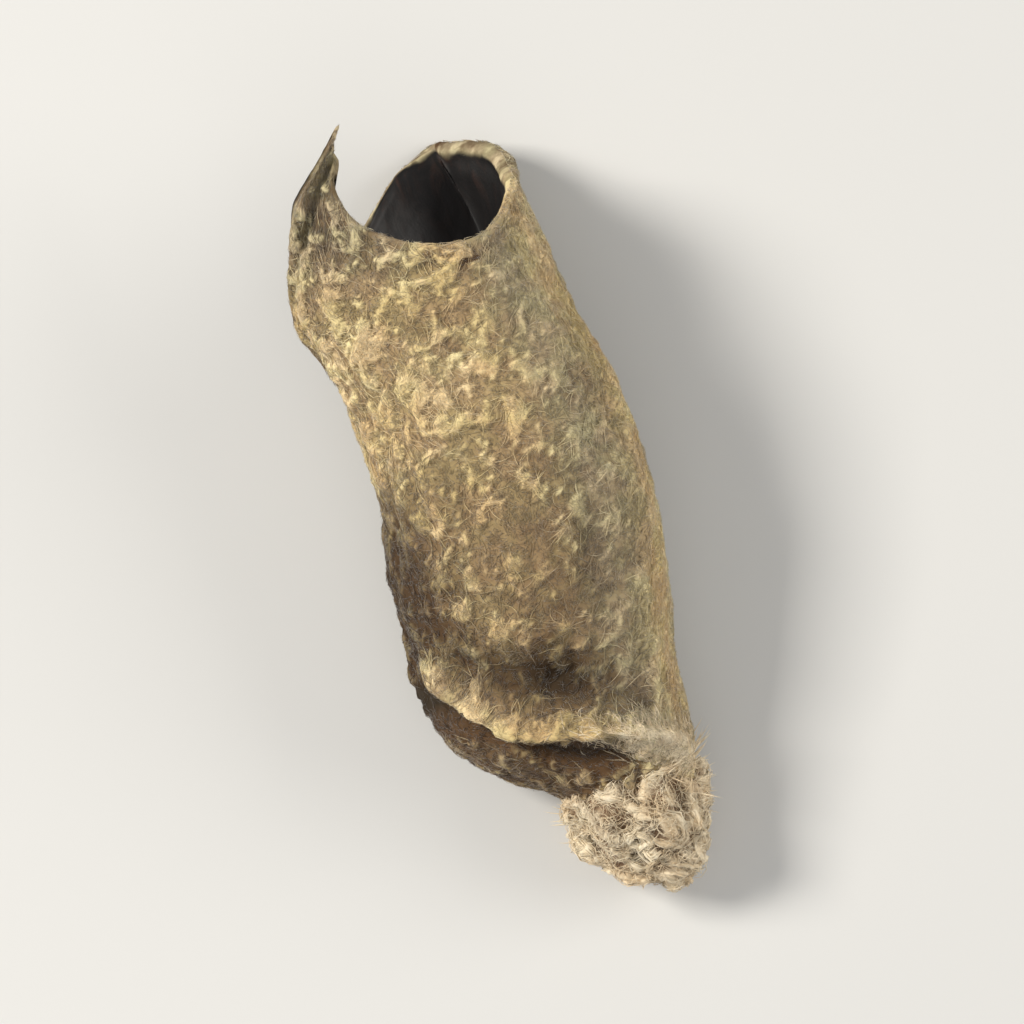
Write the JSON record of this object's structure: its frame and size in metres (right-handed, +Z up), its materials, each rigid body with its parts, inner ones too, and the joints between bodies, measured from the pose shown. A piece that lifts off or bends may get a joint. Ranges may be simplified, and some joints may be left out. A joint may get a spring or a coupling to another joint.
{
  "type": "dried wood ear mushroom",
  "caption": "Single dried wood ear, a thin felted fungus sheet dried into an open roll with a pointed horn, a flared mouth and a ragged torn foot, lying on its back.",
  "frame": {"origin": "middle of the ear's box, on the surface it rests on", "axes": "+Y along the ear from its foot to its mouth, +X to its right seen from above with the mouth away, +Z up, out of the ear's front"},
  "size_m": [0.0076, 0.0214, 0.0078],
  "materials": {
    "felted_skin": "dry matt felt, grey-tan outside and near-black inside, with a pale fibrous foot"
  },
  "bodies": {
    "root": {"wood_ear": "felted_skin"}
  },
  "joints": []
}
